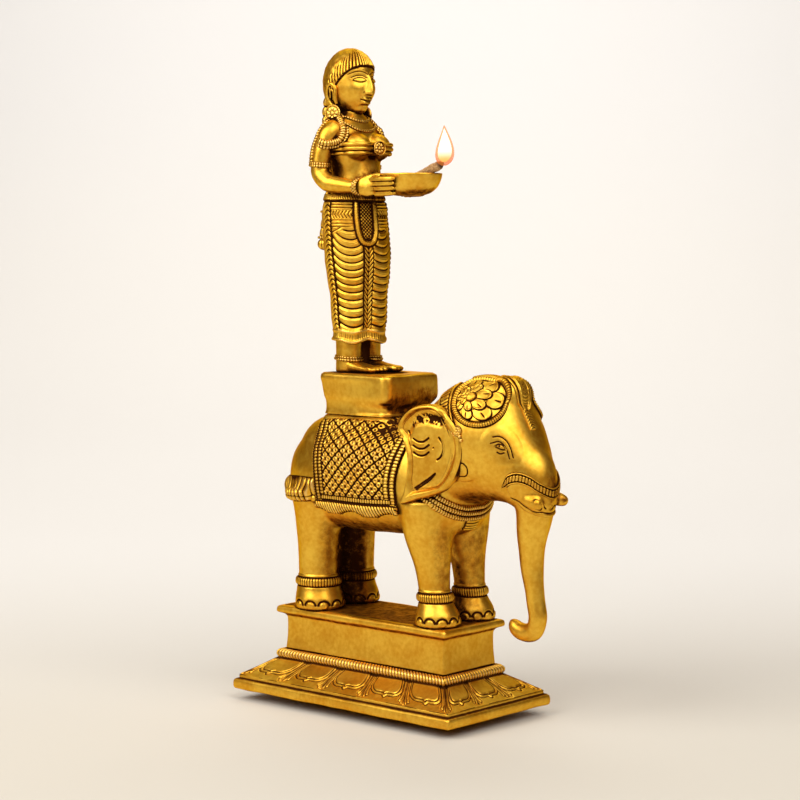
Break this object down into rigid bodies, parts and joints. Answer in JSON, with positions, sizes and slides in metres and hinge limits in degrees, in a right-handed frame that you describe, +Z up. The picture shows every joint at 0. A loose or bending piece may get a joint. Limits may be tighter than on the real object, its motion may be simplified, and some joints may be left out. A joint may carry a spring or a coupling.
{
  "type": "deepalakshmi lamp",
  "caption": "Cast brass oil lamp: a standing lady holds a boat-shaped oil bowl with a wick, on a seat on an elephant's back, over a lotus-petal plinth.",
  "frame": {"origin": "middle of the footprint of the whole lamp, on the table", "axes": "+Z up, +X the way the elephant and the lady face, +Y to their left"},
  "size_m": [0.1935, 0.086, 0.3585],
  "materials": {
    "cast_brass": "satin cast brass with dark patina in the recesses",
    "brass_fixings": "plain turned brass",
    "cotton_wick": "twisted oiled cotton with a charred end"
  },
  "bodies": {
    "stand": {"lotus_base": "cast_brass", "pedestal": "cast_brass", "pedestal_screws": "brass_fixings", "elephant": "cast_brass", "foot_screws": "brass_fixings", "seat_block": "cast_brass", "seat_stud": "brass_fixings"},
    "lady": {"lady": "cast_brass", "lady_peg": "brass_fixings", "right_forearm": "cast_brass", "left_forearm": "cast_brass", "elbow_pins": "brass_fixings"},
    "bowl": {"oil_bowl": "cast_brass"},
    "wick": {"wick": "cotton_wick"}
  },
  "joints": [
    {"name": "lady_lift", "type": "slide", "parent": "stand", "child": "lady", "axis": [0, 0, 1], "range_m": [0, 0.03]},
    {"name": "bowl_lift", "type": "slide", "parent": "lady", "child": "bowl", "axis": [0, 0, 1], "range_m": [0, 0.04]},
    {"name": "wick_advance", "type": "slide", "parent": "bowl", "child": "wick", "axis": [0.9585, 0, 0.2851], "range_m": [0, 0.02]}
  ]
}
